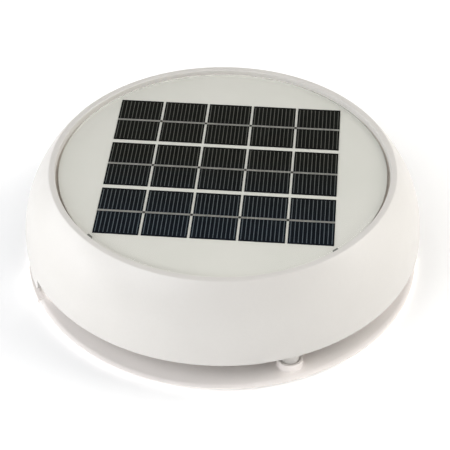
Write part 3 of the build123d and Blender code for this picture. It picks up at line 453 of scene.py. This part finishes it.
def make_clear():
    """Clear polycarbonate with a faintly uneven skin. It bends what is seen through it."""
    made = Finish("clear_cover", 0.04)
    haze = made.noise(30 * MM, 4.0)
    made.colour((0.975, 0.985, 0.965))
    made.shader.inputs["Transmission Weight"].default_value = 1.0
    made.shader.inputs["IOR"].default_value = 1.5
    made.rough(haze, 0.02, 0.06)
    made.bump(made.noise(18 * MM, 1.0), 0.01 * MM)
    return made.material


backsheet = make_backsheet()
silicon = make_silicon()
finger = make_finger()
solder = make_solder()
board_green = make_board()
clear = make_clear()

# ---------------------------------------------------------------- finishes of the CAD nodes

NODE_FINISHES = (
    (hood_white, ("hood_shell",)),
    (base_white, ("base_ring", "screen_frame")),
    (pod_white, ("motor_pod", "battery_door")),
    (fan_white, ("fan", "fan_cap")),
    (silicon, ("solar_cells_front_row", "solar_cells_middle_row", "solar_cells_rear_row")),
    (tin, ("tab_ribbons", "battery_plus_contact", "battery_spring")),
    (foam, ("flange_gasket", "pod_gasket", "lead_grommet")),
    (steel, ("pod_screws", "battery_door_screw", "motor_screws", "motor_shaft")),
    (zinc, ("motor_can", "armature")),
    (brass, ("front_bushing", "rear_bushing", "motor_brushes", "commutator")),
    (copper, ("armature_windings",)),
    (ferrite, ("motor_magnets",)),
    (black_plastic, ("motor_end_bell", "switch_body", "switch_slider")),
    (black_plastic, ("board_capacitor", "board_diode", "board_transistor")),
    (battery_sleeve, ("battery_cell",)),
    (board_green, ("control_board",)),
    (red_wire, ("panel_lead_plus", "motor_lead_plus", "battery_lead_plus")),
    (black_wire, ("panel_lead_minus", "motor_lead_minus", "battery_lead_minus")),
)

for material, names in NODE_FINISHES:
    for name in names:
        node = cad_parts[name]
        node.data.materials.clear()
        node.data.materials.append(material)

# ---------------------------------------------------------------- solar panel


def make_cover():
    """The clear cover: a disc with a rounded upper edge, bonded to the backsheet."""
    bottom = BACKSHEET_TOP - COVER_BOND
    edge = COVER_RADIUS - COVER_MARGIN
    corner = (edge - COVER_ROUNDING, COVER_TOP - COVER_ROUNDING)
    profile = [
        (0, COVER_TOP),
        *quarter(corner, COVER_ROUNDING, 90),
        (edge, bottom),
        (0, bottom),
    ]
    cover = revolve("clear_cover", profile, clear, 360)
    cover.data.set_sharp_from_angle(angle=math.radians(40))
    # Lamps and bounced light reach the cells as if the cover weren't there.
    cover.visible_shadow = False
    cover.visible_diffuse = False
    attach(cover, "hood")
    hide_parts("panel_cover")


def make_laminate():
    """The backsheet, with as many sides as the cover, so that their edges run together."""
    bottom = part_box("panel_backsheet")[0].z
    profile = [(0, BACKSHEET_TOP), (COVER_RADIUS, BACKSHEET_TOP), (COVER_RADIUS, bottom), (0, bottom)]
    sheet = revolve("backsheet_disc", profile, backsheet, 360)
    sheet.data.set_sharp_from_angle(angle=math.radians(40))
    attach(sheet, "hood")
    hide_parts("panel_backsheet")


def make_seal():
    """The bead in the groove: its face is hollow where it was wiped against both walls."""
    outer, inner = RIM_INNER_RADIUS, COVER_RADIUS
    middle, half = (outer + inner) / 2, (outer - inner) / 2
    face = []
    for i in range(9):
        across = 1 - i / 4
        face.append((middle + across * half, SEAL_TOP - SEAL_SAG * (1 - across**2)))
    profile = [(inner, SEAL_BOTTOM), (outer, SEAL_BOTTOM), *face]
    seal = revolve("seal_bead", profile, silicone, 360)
    seal.data.set_sharp_from_angle(angle=math.radians(50))
    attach(seal, "hood")
    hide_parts("panel_seal")


def make_painted_shade_blocks():
    """Two dark rubber blocks lapped over the cover's edge in its groove, by the cells' lower corners.
    They are painted shade, dark pieces put where the edge only looks dark.
    """
    lap = COVER_RADIUS - BLOCK_LAP
    foot = COVER_RADIUS + BLOCK_FOOT_GAP
    wall = RIM_INNER_RADIUS - BLOCK_WALL_GAP
    profile = (
        (lap, COVER_TOP + BLOCK_CLEARANCE),
        (lap, COVER_TOP + BLOCK_CORNER),
        (lap + BLOCK_CORNER, COVER_TOP + BLOCK_RISE),
        (RIM_INNER_RADIUS - BLOCK_SLOPE, COVER_TOP + BLOCK_RISE),
        (wall, COVER_TOP),
        (wall, SEAL_TOP),
        (foot, SEAL_TOP),
        (foot, COVER_TOP + BLOCK_CLEARANCE),
    )
    bm = bmesh.new()
    for angle in BLOCK_ANGLES:
        rings = []
        for i in range(BLOCK_STEPS + 1):
            a = math.radians(angle + BLOCK_ARC * (i / BLOCK_STEPS - 0.5))
            rings.append([bm.verts.new((r * math.cos(a), r * math.sin(a), z)) for r, z in profile])
        for a, b in zip(rings, rings[1:]):
            for k in range(len(profile)):
                m = (k + 1) % len(profile)
                bm.faces.new((a[k], a[m], b[m], b[k]))
        bm.faces.new(reversed(rings[0]))
        bm.faces.new(rings[-1])
    blocks = add_mesh("painted_shade_blocks", bm, painted_shade_rubber, smooth=False)
    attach(blocks, "hood")


def make_fingers(row):
    """The printed lines of a row's cells, and the solder where its ribbon leaves each cell."""
    low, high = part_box(f"solar_cells_{row}_row")
    cell_width = (high.x - low.x - (COLUMNS - 1) * COLUMN_GAP) / COLUMNS
    length = high.y - low.y - 2 * FINGER_MARGIN
    middle = (low.y + high.y) / 2
    lines = bmesh.new()
    beads = bmesh.new()
    for column in range(COLUMNS):
        left = low.x + column * (cell_width + COLUMN_GAP)
        pitch = (cell_width - 2 * FINGER_MARGIN) / (FINGERS - 1)
        for i in range(FINGERS):
            x = left + FINGER_MARGIN + i * pitch
            add_strip(lines, x, middle, CELL_TOP, FINGER_WIDTH, length, FINGER_HEIGHT)
        if column:
            gap = left - COLUMN_GAP / 2
            add_bead(beads, (gap, middle, CELL_TOP), SOLDER_SIZE)
    fingers = add_mesh(f"cell_fingers_{row}", lines, finger, smooth=False)
    joints = add_mesh(f"solder_joints_{row}", beads, solder)
    for piece in (fingers, joints):
        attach(piece, "hood")


make_cover()
make_laminate()
make_seal()
make_painted_shade_blocks()
for row in ("front", "middle", "rear"):
    make_fingers(row)

# ---------------------------------------------------------------- insect screen


def make_screen():
    """Woven wire cloth: each wire passes over one and under the next, inside a crimped edge."""
    mid = (SCREEN_BOTTOM + SCREEN_TOP) / 2
    swing = WIRE_RADIUS * 0.95
    reach = SCREEN_RADIUS - CLOTH_MARGIN
    count = int(reach / WIRE_PITCH)
    bm = bmesh.new()
    for direction in range(2):
        for i in range(-count, count + 1):
            offset = i * WIRE_PITCH
            half = math.sqrt(max(reach**2 - offset**2, 0))
            steps = int(half / WIRE_PITCH * 2)
            if steps < 2:
                continue
            points = []
            for k in range(-steps, steps + 1):
                along = k * WIRE_PITCH / 2
                phase = math.pi * (k / 2 + i + direction)
                height = mid + swing * math.cos(phase)
                where = (along, offset) if direction == 0 else (offset, along)
                points.append(Vector((*where, height)))
            add_wire(bm, points, WIRE_RADIUS, WIRE_SIDES)
    cloth = add_mesh("screen_cloth", bm, steel)
    edge_in = reach - CLOTH_LAP
    edge = revolve(
        "screen_edge",
        [
            (edge_in, SCREEN_BOTTOM + EDGE_CHAMFER),
            (edge_in + EDGE_CHAMFER, SCREEN_BOTTOM),
            (SCREEN_RADIUS - EDGE_CHAMFER, SCREEN_BOTTOM),
            (SCREEN_RADIUS, SCREEN_BOTTOM + EDGE_CHAMFER),
            (SCREEN_RADIUS, SCREEN_TOP - EDGE_CHAMFER),
            (SCREEN_RADIUS - EDGE_CHAMFER, SCREEN_TOP),
            (edge_in + EDGE_CHAMFER, SCREEN_TOP),
            (edge_in, SCREEN_TOP - EDGE_CHAMFER),
        ],
        steel,
    )
    edge.data.set_sharp_from_angle(angle=math.radians(50))
    for piece in (cloth, edge):
        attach(piece, "base")
    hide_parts("insect_screen")


make_screen()

# ---------------------------------------------------------------- camera

VIEW_TURN = 4.83
VIEW_ELEVATION = 41.05
VIEW_DISTANCE = 879.2 * MM
VIEW_AIM = Vector((1.24 * MM, 0, 22.25 * MM))
VIEW_ROLL = 0.12
LENS_MM = 125.4
SENSOR_MM = 36.0

turn = Matrix.Rotation(math.radians(VIEW_TURN), 3, "Z")
elevation = math.radians(VIEW_ELEVATION)
eye = turn @ Vector((0, -VIEW_DISTANCE * math.cos(elevation), VIEW_DISTANCE * math.sin(elevation)))
aim = turn @ VIEW_AIM
camera_data = bpy.data.cameras.new("camera")
camera_data.lens = LENS_MM
camera_data.sensor_width = SENSOR_MM
camera = bpy.data.objects.new("camera", camera_data)
bpy.context.scene.collection.objects.link(camera)
camera.location = eye
camera.rotation_mode = "QUATERNION"
roll = Quaternion((0, 0, 1), math.radians(VIEW_ROLL))
camera.rotation_quaternion = (aim - eye).to_track_quat("-Z", "Y") @ roll
bpy.context.scene.camera = camera

# ---------------------------------------------------------------- floor and light

FLOOR_SIZE = 6.0
FLOOR_DROP = 0.05 * MM
NEAR_GLOW, FAR_GLOW = 0.16, 0.95
GLOW_START, GLOW_END = 0.3, 1.4
HORIZON_STRENGTH, OVERHEAD_STRENGTH = 0.5, 0.04
HORIZON_HEIGHT, OVERHEAD_HEIGHT = 0.12, 0.4


def make_floor():
    """A pale floor, just under the object."""
    bm = bmesh.new()
    bmesh.ops.create_grid(bm, x_segments=1, y_segments=1, size=FLOOR_SIZE)
    made = Finish("floor_white", 0.9, specular=0.1)
    tone = made.between(made.noise(0.4, 2.0), 0.0, 1.0)
    made.colour(made.blend(tone, (0.955, 0.955, 0.955), (0.97, 0.97, 0.97)))
    # A faint glow lifts the shadows. Farther out it takes over from the lamps.
    away = made.node("ShaderNodeVectorMath", operation="LENGTH")
    made.link(made.place, away.inputs[0])
    glow = made.between(away.outputs["Value"], NEAR_GLOW, FAR_GLOW, GLOW_START, GLOW_END)
    made.shader.inputs["Emission Color"].default_value = (1.0, 1.0, 1.0, 1.0)
    made.link(glow, made.shader.inputs["Emission Strength"])
    floor = add_mesh("floor", bm, made.material, smooth=False)
    floor.location.z = cad_low.z - FLOOR_DROP


def soft_box(name, azimuth, height, distance, size, power, colour):
    """A square soft light that faces the object. Azimuth 0 is over the camera, 90 to its right."""
    light = bpy.data.lights.new(name, "AREA")
    light.shape = "RECTANGLE"
    light.size, light.size_y = size
    light.energy = power
    light.color = colour
    lamp = bpy.data.objects.new(name, light)
    bpy.context.scene.collection.objects.link(lamp)
    a = math.radians(azimuth + VIEW_TURN)
    place = Vector((math.sin(a) * distance, -math.cos(a) * distance, height))
    lamp.location = place
    lamp.rotation_mode = "QUATERNION"
    lamp.rotation_quaternion = (Vector((0, 0, 0.04)) - place).to_track_quat("-Z", "Y")


make_floor()

# Height and distance of a soft box, and its size
SIDE_BOX = (0.75, 0.9, (0.8, 0.8))
LOW_BOX = (0.22, 1.0, (0.9, 0.4))
COOL = (0.96, 0.975, 1.0)
NEUTRAL = (1.0, 0.99, 0.98)
WARM = (1.0, 0.98, 0.95)

soft_box("left_low", -90, *LOW_BOX, 4.2, COOL)
soft_box("left_front", -45, *SIDE_BOX, 7.9, COOL)
soft_box("front", 0, *SIDE_BOX, 1.2, NEUTRAL)
soft_box("right", 90, *SIDE_BOX, 8.3, WARM)
soft_box("right_low", 90, *LOW_BOX, 1.8, WARM)
soft_box("right_back", 135, *SIDE_BOX, 2.0, NEUTRAL)
soft_box("left_back", -135, *SIDE_BOX, 2.0, NEUTRAL)
soft_box("back_low", 180, *LOW_BOX, 0.8, NEUTRAL)

world = bpy.data.worlds.new("studio")
world.use_nodes = True
background = world.node_tree.nodes["Background"]
background.inputs["Color"].default_value = (1.0, 0.99, 0.98, 1.0)
# Pale at the horizon, dim overhead, so that the cells mirror a dim sky.
direction = world.node_tree.nodes.new("ShaderNodeTexCoord").outputs["Generated"]
split = world.node_tree.nodes.new("ShaderNodeSeparateXYZ")
fade = world.node_tree.nodes.new("ShaderNodeMapRange")
fade.inputs["From Min"].default_value = HORIZON_HEIGHT
fade.inputs["From Max"].default_value = OVERHEAD_HEIGHT
fade.inputs["To Min"].default_value = HORIZON_STRENGTH
fade.inputs["To Max"].default_value = OVERHEAD_STRENGTH
world.node_tree.links.new(direction, split.inputs["Vector"])
world.node_tree.links.new(split.outputs["Z"], fade.inputs["Value"])
world.node_tree.links.new(fade.outputs["Result"], background.inputs["Strength"])
bpy.context.scene.world = world
bpy.context.scene.view_settings.view_transform = "Standard"
